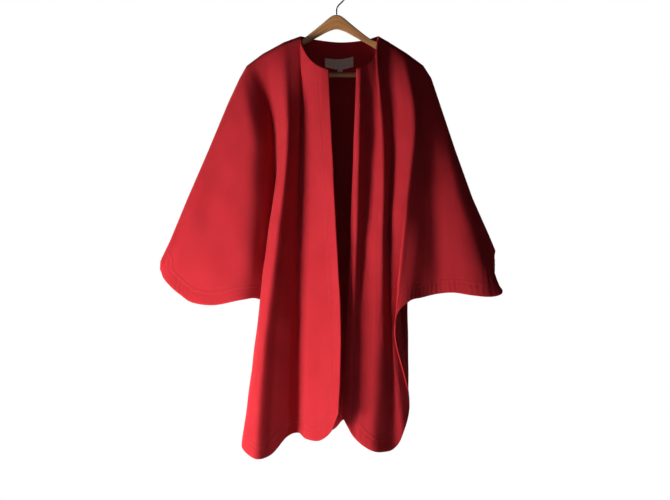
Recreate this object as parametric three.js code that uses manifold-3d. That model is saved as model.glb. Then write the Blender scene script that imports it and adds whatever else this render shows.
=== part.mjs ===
// A wool cape hanging on a flat wooden hanger with a trouser bar.
// The cape is three sheets of heavy wool cloth: two fronts and one back, each cut in one with its wing.
// Units are millimetres, +Z is up, the front faces -Y, the origin is where the hook hangs on its rail.
import * as THREE from "three";
import { mergeVertices } from "three/addons/utils/BufferGeometryUtils.js";
import Module from "manifold-3d";

const wasm = await Module();
wasm.setup();

// Cloth
const CLOTH_THICKNESS = 2.4;
const SEAM_GAP = 0.3;
const SHOULDER_ROUND = 10;
const DEPTH_RISE = 0.8;
const FRONT_STEPS_PER_FOLD = 3;
const BACK_STEPS_PER_FOLD = 2;
const ROWS_BELOW_SHOULDER = 10;

// How near a second point is taken when a patch needs the cloth's direction
const NEAR_FALL = 2;
const NEAR_LINE = 0.02;

// Hanger
const WOOD_THICKNESS = 12;
const WOOD_EDGE_ROUND = 2.5;
const BAR_DIAMETER = 12;
const BAR_HEIGHT = -220;
const BAR_SHOULDER = 199;
const BAR_TENON_DIAMETER = 7;
const BAR_TENON_LENGTH = 9;
const HOOK_WIRE_DIAMETER = 4;
const HOOK_INNER_RADIUS = 20;
const HOOK_STEM_DEPTH = 24;
const HOOK_STEM_HEIGHTS = [-24, -12, 1, 13];
const HOOK_NECK_ASIDE = 7;
const HOOK_NECK_HEIGHT = 26;
const HOOK_RING_FROM = -40;
const HOOK_RING_TO = 200;
const HOOK_RING_STEP = 20;
const WOOD_TOP = -70;
const FIT_GAP = 0.3;
const HOLE_SIDES = 16;
const BAR_SIDES = 20;
const CUT_PAST_FACE = 10;

// Label at the back neck
const LABEL_THICKNESS = 0.8;
const LABEL_STAND_OFF = 2.3;
const LABEL_FOLD_LINES = [13.36, 14.58];
const LABEL_TOP = -172;
const LABEL_HEIGHT = 30;
const TAB_THICKNESS = 0.8;
const TAB_FOLD_LINES = [13.9, 14.1];
const TAB_HEIGHT = 9.5;
const TAB_GAP = 0.5;

// Shoulder and over-arm seams, from the neck point out to the end of the wing
const SEAM_COLUMNS = ["x", "z"];
const SEAM_LEFT = [
  [-89, -124],
  [-131, -139],
  [-184, -168],
  [-224, -198],
  [-241, -228],
  [-269, -288],
  [-319, -408],
  [-371, -528],
  [-414, -632],
  [-441, -690],
];
const SEAM_RIGHT = [
  [104, -124],
  [129, -138],
  [174, -166],
  [216, -197],
  [236, -228],
  [256, -288],
  [296, -408],
  [339, -528],
  [379, -618],
  [397, -662],
];

// Fold lines of a front: x where the line starts, at each quarter of its height and at the edge below,
// its two heights, and how far it stands in front of the hanger.
const FRONT_COLUMNS = [
  "xTop", "xQuarter", "xHalf", "xThree", "xEdge",
  "zTop", "zEdge",
  "frontTop", "frontQuarter", "frontHalf", "frontEdge",
];
const FRONT_LEFT_FOLDS = [
  [-21, -12, -1, 10, 5, -210, -1062, 62, 72, 84, 98],
  [-36, -29, -18, -10, -14, -205, -1105, 60, 62, 66, 82],
  [-51, -46, -42, -38, -42, -197, -1129, 54, 52, 49, 60],
  [-69, -68, -70, -72, -76, -180, -1126, 45, 38, 33, 36],
  [-85, -90, -92, -93, -95, -152, -1112, 34, 22, 16, 12],
  [-90, -97, -106, -116, -124, -124, -1122, 0, 32, 30, 34],
  [-112, -110, -127, -150, -163, null, -1165, 0, 44, 50, 58],
  [-134, -125, -153, -184, -203, null, -1173, 0, 52, 66, 78],
  [-156, -142, -174, -202, -235, null, -1142, 0, 30, 30, 38],
  [-178, -152, -152, -165, -188, null, -1118, 0, 6, -2, -14],
  [-204, -161, -158, -152, -150, null, -812, 0, 4, 4, -6],
  [-222, -179, -180, -187, -194, null, -778, 0, 20, 30, 34],
  [-241, -208, -213, -222, -236, null, -780, 0, 38, 48, 52],
  [-262, -244, -263, -286, -304, null, -793, 0, 32, 40, 40],
  [-294, -296, -316, -340, -359, null, -787, 0, 20, 26, 26],
  [-328, -335, -354, -376, -389, null, -768, 0, 15, 20, 20],
  [-371, -373, -385, -401, -411, null, -750, 0, 10, 16, 16],
  [-410, -410, -416, -426, -431, null, -728, 0, 6, 9, 8],
  [-439, -440, -440, -440, -438, null, -712, 0, 2, 3, 4],
];
const FRONT_RIGHT_FOLDS = [
  [51, 43, 35, 26, 14, -208, -1070, 60, 62, 60, 56],
  [60, 56, 49, 40, 30, -205, -1100, 58, 70, 70, 58],
  [73, 74, 64, 50, 44, -199, -1122, 50, 44, 50, 56],
  [86, 91, 80, 72, 66, -190, -1142, 45, 46, 55, 60],
  [96, 106, 101, 98, 92, -176, -1156, 38, 54, 65, 62],
  [101, 119, 117, 118, 118, -154, -1158, 32, 56, 68, 50],
  [105, 136, 130, 136, 144, -124, -1150, 0, 32, 38, 36],
  [129, 151, 139, 141, 166, null, -1112, 0, 35, 52, 36],
  [151, 175, 164, 152, 181, null, -1028, 0, 45, 65, 26],
  [169, 193, 178, 158, 146, null, -882, 0, 48, 67, 60],
  [189, 205, 195, 176, 151, null, -818, 0, 40, 56, 66],
  [209, 216, 209, 200, 181, null, -783, 0, 31, 43, 62],
  [224, 227, 225, 225, 214, null, -774, 0, 26, 33, 46],
  [238, 240, 243, 248, 252, null, -765, 0, 22, 28, 34],
  [256, 264, 274, 283, 291, null, -762, 0, 18, 29, 40],
  [274, 290, 308, 322, 332, null, -768, 0, 16, 29, 48],
  [314, 329, 344, 359, 369, null, -772, 0, 14, 26, 50],
  [354, 364, 374, 384, 394, null, -771, 0, 10, 19, 44],
  [380, 384, 388, 398, 411, null, -765, 0, 6, 12, 36],
  [396, 392, 390, 396, 413, null, -757, 0, 3, 7, 28],
];

// Fold lines of the back, from the left wing to the right wing
const BACK_COLUMNS = ["xTop", "xHalf", "xEdge", "zTop", "zEdge", "backTop", "backHalf", "backEdge"];
const BACK_FOLDS = [
  [-438, -437, -434, null, -708, 0, 3, 4],
  [-410, -416, -424, null, -722, 0, 10, 16],
  [-371, -384, -404, null, -745, 0, 22, 34],
  [-328, -348, -372, null, -764, 0, 18, 24],
  [-294, -312, -334, null, -774, 0, 26, 30],
  [-262, -270, -284, null, -776, 0, 42, 58],
  [-241, -234, -240, null, -772, 0, 34, 40],
  [-222, -204, -204, null, -770, 0, 30, 32],
  [-204, -182, -166, null, -796, 0, 44, 44],
  [-178, -180, -206, null, -1096, 0, 52, 52],
  [-150, -170, -192, null, -1118, 0, 78, 104],
  [-118, -140, -156, null, -1112, 0, 66, 84],
  [-90, -100, -116, -124, -1096, 0, 44, 54],
  [-49, -66, -72, -132, -1104, 28, 62, 96],
  [9, 0, -12, -138, -1110, 36, 54, 74],
  [64, 42, 24, -134, -1080, 28, 50, 62],
  [105, 84, 78, -124, -1098, 0, 70, 98],
  [129, 118, 118, null, -1106, 0, 56, 72],
  [151, 150, 148, null, -1100, 0, 66, 84],
  [178, 172, 178, null, -1032, 0, 46, 44],
  [205, 186, 172, null, -800, 0, 38, 34],
  [224, 214, 200, null, -772, 0, 30, 30],
  [238, 240, 240, null, -758, 0, 42, 48],
  [268, 280, 292, null, -752, 0, 34, 36],
  [314, 330, 346, null, -754, 0, 30, 44],
  [354, 364, 374, null, -750, 0, 18, 26],
  [380, 386, 394, null, -722, 0, 8, 12],
  [395, 395, 396, null, -696, 0, 3, 4],
];

const WOOL_RED = new THREE.MeshStandardMaterial({ color: 0xa01820, roughness: 0.95, metalness: 0 });
const VARNISHED_WOOD = new THREE.MeshStandardMaterial({ color: 0xc89650, roughness: 0.45, metalness: 0 });
const LABEL_CLOTH = new THREE.MeshStandardMaterial({ color: 0xb59a96, roughness: 0.8, metalness: 0 });
const HOOK_METAL = new THREE.MeshStandardMaterial({ color: 0xb8babd, roughness: 0.3, metalness: 1 });

// A smooth curve through evenly numbered values: at u = 2 it gives the third value
function through(values, u) {
  const last = values.length - 1;
  const i = Math.min(Math.floor(u), last - 1);
  const f = u - i;
  const a = values[i];
  const b = values[i + 1];
  const before = i > 0 ? values[i - 1] : 2 * a - b;
  const after = i + 2 <= last ? values[i + 2] : 2 * b - a;
  const slopeA = (b - before) / 2;
  const slopeB = (after - a) / 2;
  const f2 = f * f;
  const f3 = f2 * f;
  return a * (2 * f3 - 3 * f2 + 1) + slopeA * (f3 - 2 * f2 + f) + b * (3 * f2 - 2 * f3) + slopeB * (f3 - f2);
}

function column(rows, names, name) {
  const at = names.indexOf(name);
  return rows.map((row) => row[at]);
}

// Height of the seam above a place x
function seamHeight(seam, x) {
  const xs = column(seam, SEAM_COLUMNS, "x");
  const zs = column(seam, SEAM_COLUMNS, "z");
  for (let i = 0; i + 1 < xs.length; i += 1) {
    const f = (x - xs[i]) / (xs[i + 1] - xs[i]);
    if (f <= 1 || i + 2 === xs.length) return zs[i] + (zs[i + 1] - zs[i]) * Math.max(f, 0);
  }
  return zs[0];
}

// Heights where the lines start: the neck edge's own, or on the seam
function topHeights(xTops, zTops) {
  return xTops.map((x, i) => {
    if (zTops[i] !== null) return zTops[i];
    return seamHeight(x < 0 ? SEAM_LEFT : SEAM_RIGHT, x);
  });
}

// The sheet's middle surface. s runs across the fold lines, fall is the distance below the top edge,
// t the share of the line's height. The folds deepen fastest near the top, as a power of t below one.
// sign is -1 for a front and +1 for the back.
function panelPoint(panel, s, fall, t) {
  const xs = panel.xStations.map((values) => through(values, s));
  const x = through(xs, t * 4);
  const depths = panel.depthStations.map((values) => through(values, s));
  depths[0] = Math.max(depths[0], 0);
  const onSeam = Math.min(Math.max(through(panel.seamShare, s), 0), 1);
  const top = panel.topHeight(s, xs[0]);
  const edge = through(panel.zEdge, s);
  const round = Math.min(SHOULDER_ROUND, 0.3 * (top - edge));
  const reach = Math.min(fall, round);
  const cap = Math.sqrt(Math.max(round * round - (round - reach) * (round - reach), 0));
  const depth = through(depths, 4 * t ** DEPTH_RISE) + onSeam * cap * (1 - t) * (1 - t) + SEAM_GAP / 2;
  return new THREE.Vector3(x, panel.sign * depth, top + (edge - top) * t);
}

function panelFrom(rows, names, sign) {
  const get = (name) => column(rows, names, name);
  const zTop = get("zTop");
  const heights = topHeights(get("xTop"), zTop);
  let xStations;
  let depthStations;
  if (sign < 0) {
    xStations = [get("xTop"), get("xQuarter"), get("xHalf"), get("xThree"), get("xEdge")];
    const half = get("frontHalf");
    const edge = get("frontEdge");
    depthStations = [get("frontTop"), get("frontQuarter"), half, half.map((d, i) => (d + edge[i]) / 2), edge];
  } else {
    const xTop = get("xTop");
    const xHalf = get("xHalf");
    const xEdge = get("xEdge");
    const top = get("backTop");
    const half = get("backHalf");
    const edge = get("backEdge");
    const xQuarter = xTop.map((x, i) => (x + xHalf[i]) / 2);
    const xThree = xHalf.map((x, i) => (x + xEdge[i]) / 2);
    xStations = [xTop, xQuarter, xHalf, xThree, xEdge];
    depthStations = [
      top,
      half.map((d, i) => 0.3 * top[i] + 0.7 * d),
      half,
      half.map((d, i) => (d + edge[i]) / 2),
      edge,
    ];
  }
  // A line starts on the seam where its top stands neither in front nor behind
  const seamShare = depthStations[0].map((d) => (d === 0 ? 1 : 0));
  const neckLines = zTop.map((z, i) => (z === null ? -1 : i)).filter((i) => i >= 0);
  const first = neckLines[0];
  const last = neckLines[neckLines.length - 1];
  const topHeight = (s, x) => {
    if (s >= first && s <= last) return through(heights.slice(first, last + 1), s - first);
    return seamHeight(x < 0 ? SEAM_LEFT : SEAM_RIGHT, x);
  };
  const steps = sign < 0 ? FRONT_STEPS_PER_FOLD : BACK_STEPS_PER_FOLD;
  const zEdge = get("zEdge");
  return { sign, steps, lines: rows.length, xStations, depthStations, zEdge, seamShare, topHeight };
}

// A wall of even thickness about a grid of points, closed along its four edges
function wallGeometry(points, normals, thickness) {
  const across = points.length;
  const down = points[0].length;
  const positions = [];
  for (const side of [0.5, -0.5]) {
    for (let i = 0; i < across; i += 1) {
      for (let j = 0; j < down; j += 1) {
        const p = points[i][j].clone().addScaledVector(normals[i][j], side * thickness);
        positions.push(p.x, p.y, p.z);
      }
    }
  }
  const index = [];
  const at = (side, i, j) => side * across * down + i * down + j;
  const quad = (a, b, c, d) => index.push(a, b, c, a, c, d);
  for (let i = 0; i + 1 < across; i += 1) {
    for (let j = 0; j + 1 < down; j += 1) {
      quad(at(0, i, j), at(0, i + 1, j), at(0, i + 1, j + 1), at(0, i, j + 1));
      quad(at(1, i, j), at(1, i, j + 1), at(1, i + 1, j + 1), at(1, i + 1, j));
    }
  }
  for (let i = 0; i + 1 < across; i += 1) {
    quad(at(0, i + 1, 0), at(0, i, 0), at(1, i, 0), at(1, i + 1, 0));
    quad(at(0, i, down - 1), at(0, i + 1, down - 1), at(1, i + 1, down - 1), at(1, i, down - 1));
  }
  for (let j = 0; j + 1 < down; j += 1) {
    quad(at(0, 0, j), at(0, 0, j + 1), at(1, 0, j + 1), at(1, 0, j));
    quad(at(0, across - 1, j + 1), at(0, across - 1, j), at(1, across - 1, j), at(1, across - 1, j + 1));
  }
  const geometry = new THREE.BufferGeometry();
  geometry.setAttribute("position", new THREE.Float32BufferAttribute(positions, 3));
  geometry.setIndex(index);
  geometry.computeVertexNormals();
  return geometry;
}

function gridNormals(points, flip, flatTop) {
  const across = points.length;
  const down = points[0].length;
  return points.map((line, i) =>
    line.map((_, j) => {
      const ds = points[Math.min(i + 1, across - 1)][j].clone().sub(points[Math.max(i - 1, 0)][j]);
      const dt = points[i][Math.min(j + 1, down - 1)].clone().sub(points[i][Math.max(j - 1, 0)]);
      const n = ds.cross(dt);
      if (j === 0 && flatTop[i]) n.y = 0;
      return n.normalize().multiplyScalar(flip);
    }),
  );
}

// Distances below the top edge: four close rows round the shoulder, then even rows down to the edge
function rowFalls(height) {
  const round = Math.min(SHOULDER_ROUND, 0.3 * height);
  const falls = [0, 0.13 * round, 0.5 * round, round];
  const row = (height - round) / ROWS_BELOW_SHOULDER;
  for (let j = 1; j <= ROWS_BELOW_SHOULDER; j += 1) falls.push(round + row * j);
  return falls;
}

function panelGrid(panel) {
  const across = (panel.lines - 1) * panel.steps;
  const points = [];
  const flatTop = [];
  for (let i = 0; i <= across; i += 1) {
    const s = i / panel.steps;
    const height = panel.topHeight(s, through(panel.xStations[0], s)) - through(panel.zEdge, s);
    points.push(rowFalls(height).map((fall) => panelPoint(panel, s, fall, fall / height)));
    flatTop.push(through(panel.seamShare, s) > 0.5);
  }
  return { points, flatTop };
}

function mesh(name, geometry, material) {
  const made = new THREE.Mesh(geometry, material);
  made.name = name;
  return made;
}

function clothPanel(name, panel, flip) {
  const { points, flatTop } = panelGrid(panel);
  const normals = gridNormals(points, flip, flatTop);
  const geometry = wallGeometry(points, normals, flip * CLOTH_THICKNESS);
  return mesh(name, geometry, WOOL_RED);
}

// A thin patch lying on the inner face of the back: from its points, moved forward
function backPatch(name, panel, lines, zTop, patchHeight, thickness, across, down) {
  const away = CLOTH_THICKNESS / 2 + LABEL_STAND_OFF + thickness / 2;
  const points = [];
  for (let i = 0; i <= across; i += 1) {
    const s = lines[0] + ((lines[1] - lines[0]) * i) / across;
    const top = panel.topHeight(s, through(panel.xStations[0], s));
    const height = top - through(panel.zEdge, s);
    const line = [];
    for (let j = 0; j <= down; j += 1) {
      const fall = top - zTop + (patchHeight * j) / down;
      const p = panelPoint(panel, s, fall, fall / height);
      const below = panelPoint(panel, s, fall + NEAR_FALL, (fall + NEAR_FALL) / height);
      const beside = panelPoint(panel, s + NEAR_LINE, fall, fall / height);
      const n = beside.sub(p).cross(below.sub(p)).normalize();
      if (n.y > 0) n.negate();
      line.push(p.addScaledVector(n, away));
    }
    points.push(line);
  }
  const normals = gridNormals(points, 1, points.map(() => false));
  return mesh(name, wallGeometry(points, normals, thickness), LABEL_CLOTH);
}

// Solids for cutting: positions only, shared corners merged
function solid(geometry) {
  const plain = geometry.clone();
  plain.deleteAttribute("normal");
  plain.deleteAttribute("uv");
  const merged = mergeVertices(plain, 1e-4);
  return new wasm.Manifold(
    new wasm.Mesh({
      numProp: 3,
      vertProperties: new Float32Array(merged.attributes.position.array),
      triVerts: new Uint32Array(merged.index.array),
    }),
  );
}

function geometryOf(manifold) {
  const data = manifold.getMesh();
  const geometry = new THREE.BufferGeometry();
  geometry.setAttribute("position", new THREE.Float32BufferAttribute(data.vertProperties, 3));
  geometry.setIndex(Array.from(data.triVerts));
  geometry.computeVertexNormals();
  return geometry;
}

// The hanger's outline: a shaped upper edge, a foot at each end for the bar, a straight lower edge
function hangerWood() {
  const upper = [
    [0, WOOD_TOP],
    [14, -74],
    [36, -92],
    [60, -111.5],
    [86, -130.5],
    [108, -138.5],
    [131, -146],
    [158, -161],
  ];
  const footInside = BAR_SHOULDER + FIT_GAP;
  const end = [
    [184, -177],
    [206, -193],
    [217, -204.5],
    [223, -215],
    [223, -226],
    [214, -234],
    [204, -233],
    [footInside, -227],
  ];
  const lower = [
    [footInside, -213],
    [190, -207],
    [131, -174],
    [60, -133],
    [22, -112],
    [0, -106],
  ];
  const half = [...upper, ...end, ...lower];
  const shape = new THREE.Shape();
  half.forEach(([x, z], i) => (i === 0 ? shape.moveTo(x, z) : shape.lineTo(x, z)));
  half
    .slice(1, -1)
    .reverse()
    .forEach(([x, z]) => shape.lineTo(-x, z));
  const plate = new THREE.ExtrudeGeometry(shape, {
    depth: WOOD_THICKNESS - 2 * WOOD_EDGE_ROUND,
    bevelEnabled: true,
    bevelThickness: WOOD_EDGE_ROUND,
    bevelSize: WOOD_EDGE_ROUND,
    bevelOffset: -WOOD_EDGE_ROUND,
    bevelSegments: 2,
    steps: 1,
  });
  plate.translate(0, 0, WOOD_EDGE_ROUND - WOOD_THICKNESS / 2);
  plate.rotateX(Math.PI / 2);
  let wood = solid(plate);
  const stemHole = new THREE.CylinderGeometry(
    HOOK_WIRE_DIAMETER / 2 + FIT_GAP,
    HOOK_WIRE_DIAMETER / 2 + FIT_GAP,
    HOOK_STEM_DEPTH + CUT_PAST_FACE,
    HOLE_SIDES,
  );
  stemHole.rotateX(Math.PI / 2);
  stemHole.translate(0, 0, WOOD_TOP - FIT_GAP + (CUT_PAST_FACE - HOOK_STEM_DEPTH) / 2);
  wood = wood.subtract(solid(stemHole));
  for (const side of [-1, 1]) {
    const length = BAR_TENON_LENGTH + FIT_GAP + CUT_PAST_FACE;
    const radius = BAR_TENON_DIAMETER / 2 + FIT_GAP;
    const hole = new THREE.CylinderGeometry(radius, radius, length, HOLE_SIDES);
    hole.rotateZ(Math.PI / 2);
    hole.translate(side * (BAR_SHOULDER + BAR_TENON_LENGTH + FIT_GAP - length / 2), 0, BAR_HEIGHT);
    wood = wood.subtract(solid(hole));
  }
  return mesh("hanger_wood", geometryOf(wood), VARNISHED_WOOD);
}

// The bar is turned: full width between the arms, a thinner tenon in each foot
function trouserBar() {
  const r = BAR_DIAMETER / 2;
  const tenon = BAR_TENON_DIAMETER / 2;
  const end = BAR_SHOULDER + BAR_TENON_LENGTH;
  const profile = [
    new THREE.Vector2(0, -end),
    new THREE.Vector2(tenon, -end),
    new THREE.Vector2(tenon, -BAR_SHOULDER),
    new THREE.Vector2(r, -BAR_SHOULDER),
    new THREE.Vector2(r, BAR_SHOULDER),
    new THREE.Vector2(tenon, BAR_SHOULDER),
    new THREE.Vector2(tenon, end),
    new THREE.Vector2(0, end),
  ];
  const geometry = new THREE.LatheGeometry(profile, BAR_SIDES);
  geometry.rotateZ(Math.PI / 2);
  geometry.translate(0, 0, BAR_HEIGHT);
  return mesh("trouser_bar", geometry, VARNISHED_WOOD);
}

// The hook is one bent wire: a stem in the wood, a swan neck and three quarters of a ring
function hangerHook() {
  const wire = HOOK_WIRE_DIAMETER / 2;
  const ring = HOOK_INNER_RADIUS + wire;
  const centre = -HOOK_INNER_RADIUS;
  const points = [];
  for (const rise of HOOK_STEM_HEIGHTS) points.push(new THREE.Vector3(0, 0, WOOD_TOP + rise));
  points.push(new THREE.Vector3(HOOK_NECK_ASIDE, 0, WOOD_TOP + HOOK_NECK_HEIGHT));
  for (let degrees = HOOK_RING_FROM; degrees <= HOOK_RING_TO; degrees += HOOK_RING_STEP) {
    const a = (degrees * Math.PI) / 180;
    points.push(new THREE.Vector3(ring * Math.cos(a), 0, centre + ring * Math.sin(a)));
  }
  const section = new THREE.Shape();
  section.absarc(0, 0, wire, 0, 2 * Math.PI, false);
  const geometry = new THREE.ExtrudeGeometry(section, {
    steps: 48,
    bevelEnabled: false,
    curveSegments: 5,
    extrudePath: new THREE.CatmullRomCurve3(points, false, "centripetal"),
  });
  return mesh("hanger_hook", geometry, HOOK_METAL);
}

const frontLeft = panelFrom(FRONT_LEFT_FOLDS, FRONT_COLUMNS, -1);
const frontRight = panelFrom(FRONT_RIGHT_FOLDS, FRONT_COLUMNS, -1);
const back = panelFrom(BACK_FOLDS, BACK_COLUMNS, 1);

const cape = new THREE.Group();
cape.add(clothPanel("front_left", frontLeft, 1));
cape.add(clothPanel("front_right", frontRight, -1));
cape.add(clothPanel("back_panel", back, 1));
cape.add(backPatch("neck_label", back, LABEL_FOLD_LINES, LABEL_TOP, LABEL_HEIGHT, LABEL_THICKNESS, 8, 4));
const tabTop = LABEL_TOP - LABEL_HEIGHT - TAB_GAP;
cape.add(backPatch("size_tab", back, TAB_FOLD_LINES, tabTop, TAB_HEIGHT, TAB_THICKNESS, 2, 2));

const hanger = new THREE.Group();
hanger.add(hangerWood());
hanger.add(trouserBar());
hanger.add(hangerHook());

const whole = new THREE.Group();
whole.add(cape);
whole.add(hanger);

export default whole;
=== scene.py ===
"""A red wool cape hanging on a wooden hanger, as it is cut, sewn and hung."""

import math
import bpy
import numpy as np
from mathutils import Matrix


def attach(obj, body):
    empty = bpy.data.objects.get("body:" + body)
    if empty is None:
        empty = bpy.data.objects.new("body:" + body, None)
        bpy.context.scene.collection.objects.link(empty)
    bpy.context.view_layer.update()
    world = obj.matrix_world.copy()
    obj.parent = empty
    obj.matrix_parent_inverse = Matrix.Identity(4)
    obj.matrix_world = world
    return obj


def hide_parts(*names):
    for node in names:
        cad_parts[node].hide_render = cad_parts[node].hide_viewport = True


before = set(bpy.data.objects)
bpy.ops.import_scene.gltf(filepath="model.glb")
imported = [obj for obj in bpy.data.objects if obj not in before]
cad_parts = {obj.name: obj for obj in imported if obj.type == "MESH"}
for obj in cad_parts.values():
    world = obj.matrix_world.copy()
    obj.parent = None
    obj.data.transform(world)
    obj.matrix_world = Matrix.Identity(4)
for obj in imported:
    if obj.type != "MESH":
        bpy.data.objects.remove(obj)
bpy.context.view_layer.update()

# The room
# A camera level with the middle of the cape and square to its front, a window-like light from the left,
# and a pale floor well below the hem. The room is dim away from the window, so the folds turn nearly black.
MM = 0.001
PIXEL = 2.5 * MM
HOOK_PIXEL = (336.5, -13.0)
PICTURE_CENTRE = (335.0, 250.0)
PICTURE_WIDTH = 670
CAMERA_DISTANCE = 9.0
SENSOR = 0.036

camera_data = bpy.data.cameras.new("camera")
camera_data.sensor_width = SENSOR * 1000
camera_data.lens = SENSOR * 1000 * CAMERA_DISTANCE / (PICTURE_WIDTH * PIXEL)
camera = bpy.data.objects.new("camera", camera_data)
camera.location = (
    (PICTURE_CENTRE[0] - HOOK_PIXEL[0]) * PIXEL,
    -CAMERA_DISTANCE,
    -(PICTURE_CENTRE[1] - HOOK_PIXEL[1]) * PIXEL,
)
camera.rotation_euler = (math.pi / 2, 0, 0)
bpy.context.scene.collection.objects.link(camera)
bpy.context.scene.camera = camera
bpy.context.scene.view_settings.view_transform = "Standard"


def linear(colour):
    """Turns an sRGB hex colour into linear red, green, blue and 1."""
    parts = [int(colour[i : i + 2], 16) / 255 for i in (1, 3, 5)]
    return tuple(c / 12.92 if c <= 0.04045 else ((c + 0.055) / 1.055) ** 2.4 for c in parts) + (1.0,)


def node(tree, kind, links=None, **settings):
    """Adds one shader node: settings name its fields or sockets, links name what feeds its sockets."""
    made = tree.nodes.new(kind)
    for name, value in settings.items():
        if hasattr(made, name):
            setattr(made, name, value)
        else:
            made.inputs[name.replace("_", " ")].default_value = value
    for name, source in (links or {}).items():
        socket = made.inputs[name] if isinstance(name, int) else made.inputs[name.replace("_", " ")]
        tree.links.new(source, socket)
    return made


def area_light(name, place, aim, size, power, colour):
    """A soft rectangular light at a place, turned to its aim."""
    data = bpy.data.lights.new(name, "AREA")
    data.shape = "RECTANGLE"
    data.size, data.size_y = size
    data.energy = power
    data.color = linear(colour)[:3]
    lamp = bpy.data.objects.new(name, data)
    lamp.location = place
    way = np.array(aim, float) - np.array(place, float)
    flat = math.hypot(way[0], way[1])
    lamp.rotation_euler = (math.atan2(flat, -way[2]), 0, math.atan2(way[1], way[0]) - math.pi / 2)
    lamp.visible_camera = False
    bpy.context.scene.collection.objects.link(lamp)
    return lamp


WINDOW_POWER = 50
ROOM_POWER = 6.5
BEHIND_POWER = 95
WORLD_STRENGTH = 0.02

area_light("window", (-1.4, -0.88, -1.3), (-0.02, 0.0, -0.98), (0.6, 0.6), WINDOW_POWER, "#FFF4EE")
area_light("room", (-0.3, -3.6, 1.0), (0.0, 0.0, -0.5), (2.4, 2.4), ROOM_POWER, "#F6F0FF")
area_light("behind", (-1.6, 2.6, 0.3), (0.0, 0.0, -0.6), (1.8, 1.8), BEHIND_POWER, "#FFF8F4")

world = bpy.data.worlds.new("pale room")
bpy.context.scene.world = world
world.use_nodes = True
world.node_tree.nodes.clear()
seen = node(world.node_tree, "ShaderNodeBackground", Color=linear("#FFFFFF"), Strength=1.0)
cast = node(world.node_tree, "ShaderNodeBackground", Color=linear("#F4F2F4"), Strength=WORLD_STRENGTH)
path = node(world.node_tree, "ShaderNodeLightPath")
chosen = node(
    world.node_tree,
    "ShaderNodeMixShader",
    {0: path.outputs["Is Camera Ray"], 1: cast.outputs[0], 2: seen.outputs[0]},
)
node(world.node_tree, "ShaderNodeOutputWorld", {"Surface": chosen.outputs[0]})

FLOOR_HEIGHT = -1.62
FLOOR_HALF = 1.9
floor_mesh = bpy.data.meshes.new("floor")
floor_mesh.from_pydata(
    [(x * FLOOR_HALF, y * FLOOR_HALF, FLOOR_HEIGHT) for x, y in ((-1, -1), (1, -1), (1, 1), (-1, 1))],
    [],
    [(0, 1, 2, 3)],
)
floor = bpy.data.objects.new("floor", floor_mesh)
bpy.context.scene.collection.objects.link(floor)
floor_paint = bpy.data.materials.new("pale painted floor")
floor_paint.use_nodes = True
floor_paint.node_tree.nodes["Principled BSDF"].inputs["Base Color"].default_value = linear("#E9E6E3")
floor_paint.node_tree.nodes["Principled BSDF"].inputs["Roughness"].default_value = 0.8
floor_mesh.materials.append(floor_paint)

# The left front
# One sheet of heavy milled wool coating, cut in one with its wing and hung from the shoulder seam.
# Its free edges are turned once and held by two rows of topstitching. It hangs in deep folds.
CLOTH = 2.4
TURNED_EDGE = 38.0
TURNED_THICKER = 1.3
STITCH_ROWS = (25.0, 35.0)
STITCH_DIP = 0.5
EDGE_FULL = 0.35
STITCH_PITCH = 4.4
STITCH_LENGTH = 3.3
THREAD = 0.75
SHOULDER_ROUND = 10.0
DEPTH_RISE = 0.8
SEAM_GAP = 0.3
LONGEST_STEP = 7.0
CAP_ROWS = 8
LONG_ROWS = 74
EDGE_BAND = 46.0
EDGE_BAND_ROWS = 19
WAVES = ((97, 310), (163, 190), (131, 430))
WAVE_STRETCH = 1.3
THREAD_SIDES = 6
STITCH_PROFILE = (
    (-0.5, 0.35, -0.55),
    (-0.36, 0.9, 0.05),
    (0.0, 1.0, 0.25),
    (0.36, 0.9, 0.05),
    (0.5, 0.35, -0.55),
)

SEAM_LEFT = [
    (-89, -124),
    (-131, -139),
    (-184, -168),
    (-224, -198),
    (-241, -228),
    (-269, -288),
    (-319, -408),
    (-371, -528),
    (-414, -632),
    (-441, -690),
]
FRONT_COLUMNS = (
    "x_top", "x_quarter", "x_half", "x_three", "x_edge",
    "z_top", "z_edge",
    "out_top", "out_quarter", "out_half", "out_edge",
)
FRONT_LEFT_FOLDS = [
    (-21, -12, -1, 10, 5, -210, -1062, 62, 72, 84, 98),
    (-36, -29, -18, -10, -14, -205, -1105, 60, 62, 66, 82),
    (-51, -46, -42, -38, -42, -197, -1129, 54, 52, 49, 60),
    (-69, -68, -70, -72, -76, -180, -1126, 45, 38, 33, 36),
    (-85, -90, -92, -93, -95, -152, -1112, 34, 22, 16, 12),
    (-90, -97, -106, -116, -124, -124, -1122, 0, 32, 30, 34),
    (-112, -110, -127, -150, -163, None, -1165, 0, 44, 50, 58),
    (-134, -125, -153, -184, -203, None, -1173, 0, 52, 66, 78),
    (-156, -142, -174, -202, -235, None, -1142, 0, 30, 30, 38),
    (-178, -152, -152, -165, -188, None, -1118, 0, 6, -2, -14),
    (-204, -161, -158, -152, -150, None, -812, 0, 4, 4, -6),
    (-222, -179, -180, -187, -194, None, -778, 0, 20, 30, 34),
    (-241, -208, -213, -222, -236, None, -780, 0, 38, 48, 52),
    (-262, -244, -263, -286, -304, None, -793, 0, 32, 40, 40),
    (-294, -296, -316, -340, -359, None, -787, 0, 20, 26, 26),
    (-328, -335, -354, -376, -389, None, -768, 0, 15, 20, 20),
    (-371, -373, -385, -401, -411, None, -750, 0, 10, 16, 16),
    (-410, -410, -416, -426, -431, None, -728, 0, 6, 9, 8),
    (-439, -440, -440, -440, -438, None, -712, 0, 2, 3, 4),
]


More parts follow.
